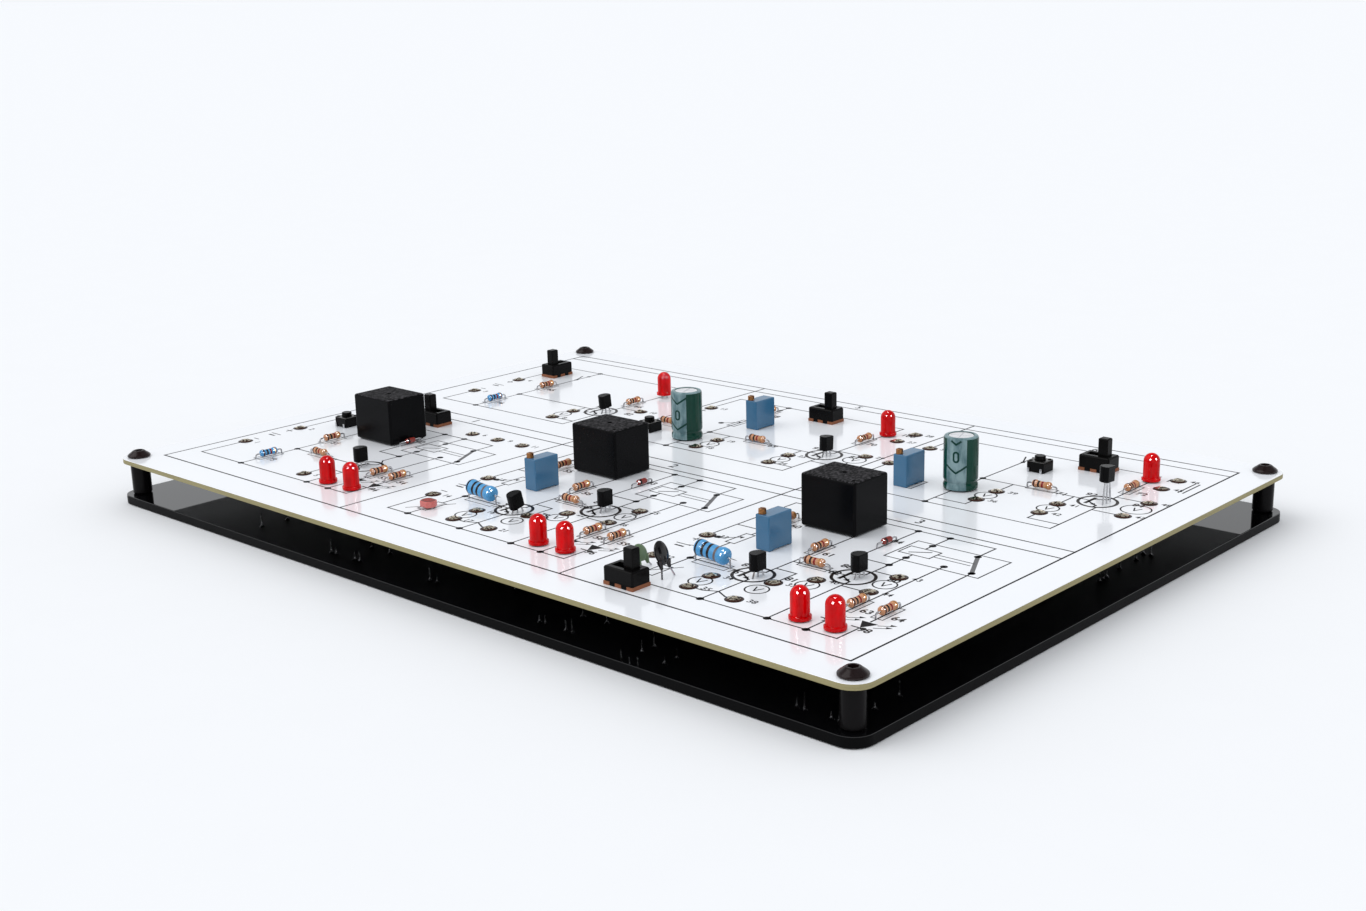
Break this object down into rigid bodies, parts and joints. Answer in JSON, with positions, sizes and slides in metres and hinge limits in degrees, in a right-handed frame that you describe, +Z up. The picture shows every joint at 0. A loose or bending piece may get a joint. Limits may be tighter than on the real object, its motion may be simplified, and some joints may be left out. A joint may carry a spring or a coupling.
{
  "type": "electronics training board",
  "caption": "White circuit board on spacers over a glossy black base, with relay, sensor, timer and transistor circuits, slide switches, push-buttons, trimmers and LEDs for teaching.",
  "frame": {"origin": "centre of the underside of the base plate", "axes": "+X along the long side to the right, +Y to the back, +Z up, with the front of the board at -Y"},
  "size_m": [0.312, 0.2212, 0.0324],
  "materials": {
    "smoked_acrylic": "polished",
    "white_board": "glossy",
    "black_screws": "satin",
    "black_spacers": "satin",
    "relay_plastic": "satin",
    "switch_plastic": "satin",
    "switch_base": "matte",
    "tinned_steel": "bright",
    "trimmer_blue": "satin",
    "brass": "bright",
    "red_lens": "polished",
    "black_epoxy": "matte",
    "can_metal": "satin",
    "green_sleeve": "satin",
    "rubber": "matte",
    "sensor_coat": "glossy",
    "green_epoxy": "glossy",
    "tan_enamel": "glossy",
    "blue_enamel": "glossy",
    "diode_glass": "polished"
  },
  "bodies": {
    "board_unit": {"back_left_switch_base": "switch_base", "back_left_switch_housing": "switch_plastic", "back_middle_button_body": "switch_plastic", "back_middle_button_plate": "tinned_steel", "back_middle_switch_base": "switch_base", "back_middle_switch_housing": "switch_plastic", "back_middle_trimmer_body": "trimmer_blue", "back_right_button_body": "switch_plastic", "back_right_button_plate": "tinned_steel", "back_right_switch_base": "switch_base", "back_right_switch_housing": "switch_plastic", "back_right_trimmer_body": "trimmer_blue", "base_plate": "smoked_acrylic", "base_screws": "black_screws", "black_thermistor": "black_epoxy", "blue_resistors": "blue_enamel", "board_screws": "black_screws", "brown_resistors": "tan_enamel", "button_domes": "tinned_steel", "button_legs": "tinned_steel", "capacitor_bungs": "rubber", "capacitor_cans": "can_metal", "capacitor_sleeves": "green_sleeve", "circuit_board": "white_board", "component_wires": "tinned_steel", "diodes": "diode_glass", "front_left_button_body": "switch_plastic", "front_left_button_plate": "tinned_steel", "front_left_switch_base": "switch_base", "front_left_switch_housing": "switch_plastic", "front_middle_trimmer_body": "trimmer_blue", "front_right_switch_base": "switch_base", "front_right_switch_housing": "switch_plastic", "front_right_trimmer_body": "trimmer_blue", "green_thermistor": "green_epoxy", "led_leads": "tinned_steel", "led_lenses": "red_lens", "light_sensor": "sensor_coat", "power_resistors": "blue_enamel", "relay_bases": "relay_plastic", "relay_covers": "relay_plastic", "sensor_leads": "tinned_steel", "solder_joints": "tinned_steel", "spacers": "black_spacers", "test_pads": "tinned_steel", "transistor_bodies": "black_epoxy", "transistor_leads": "tinned_steel"},
    "back_left_switch_knob": {"back_left_switch_knob": "switch_plastic"},
    "back_middle_button_plunger": {"back_middle_button_plunger": "switch_plastic"},
    "back_middle_switch_knob": {"back_middle_switch_knob": "switch_plastic"},
    "back_middle_trimmer_screw": {"back_middle_trimmer_screw": "brass"},
    "back_right_button_plunger": {"back_right_button_plunger": "switch_plastic"},
    "back_right_switch_knob": {"back_right_switch_knob": "switch_plastic"},
    "back_right_trimmer_screw": {"back_right_trimmer_screw": "brass"},
    "front_left_button_plunger": {"front_left_button_plunger": "switch_plastic"},
    "front_left_switch_knob": {"front_left_switch_knob": "switch_plastic"},
    "front_middle_trimmer_screw": {"front_middle_trimmer_screw": "brass"},
    "front_right_switch_knob": {"front_right_switch_knob": "switch_plastic"},
    "front_right_trimmer_screw": {"front_right_trimmer_screw": "brass"}
  },
  "joints": [
    {"name": "back_left_switch_slide", "type": "slide", "parent": "board_unit", "child": "back_left_switch_knob", "axis": [0, 1, 0], "range_m": [0, 0.004]},
    {"name": "back_middle_button_press", "type": "slide", "parent": "board_unit", "child": "back_middle_button_plunger", "axis": [0, 0, -1], "range_m": [0, 0.00025], "stiffness_N_per_m": 4000, "springref_m": -0.00015},
    {"name": "back_middle_switch_slide", "type": "slide", "parent": "board_unit", "child": "back_middle_switch_knob", "axis": [-1, 0, 0], "range_m": [0, 0.004]},
    {"name": "back_middle_trimmer_turn", "type": "hinge", "parent": "board_unit", "child": "back_middle_trimmer_screw", "pos_m": [-0.01064, 0.0496, 0.0257], "axis": [0, 0, 1], "continuous": true},
    {"name": "back_right_button_press", "type": "slide", "parent": "board_unit", "child": "back_right_button_plunger", "axis": [0, 0, -1], "range_m": [0, 0.00025], "stiffness_N_per_m": 4000, "springref_m": -0.00015},
    {"name": "back_right_switch_slide", "type": "slide", "parent": "board_unit", "child": "back_right_switch_knob", "axis": [-1, 0, 0], "range_m": [0, 0.004]},
    {"name": "back_right_trimmer_turn", "type": "hinge", "parent": "board_unit", "child": "back_right_trimmer_screw", "pos_m": [0.07074, 0.0236, 0.0257], "axis": [0, 0, 1], "continuous": true},
    {"name": "front_left_button_press", "type": "slide", "parent": "board_unit", "child": "front_left_button_plunger", "axis": [0, 0, -1], "range_m": [0, 0.00025], "stiffness_N_per_m": 4000, "springref_m": -0.00015},
    {"name": "front_left_switch_slide", "type": "slide", "parent": "board_unit", "child": "front_left_switch_knob", "axis": [1, 0, 0], "range_m": [0, 0.004]},
    {"name": "front_middle_trimmer_turn", "type": "hinge", "parent": "board_unit", "child": "front_middle_trimmer_screw", "pos_m": [-0.01594, -0.0492, 0.0257], "axis": [0, 0, 1], "continuous": true},
    {"name": "front_right_switch_slide", "type": "slide", "parent": "board_unit", "child": "front_right_switch_knob", "axis": [-1, 0, 0], "range_m": [0, 0.004]},
    {"name": "front_right_trimmer_turn", "type": "hinge", "parent": "board_unit", "child": "front_right_trimmer_screw", "pos_m": [0.07744, -0.0494, 0.0257], "axis": [0, 0, 1], "continuous": true}
  ]
}
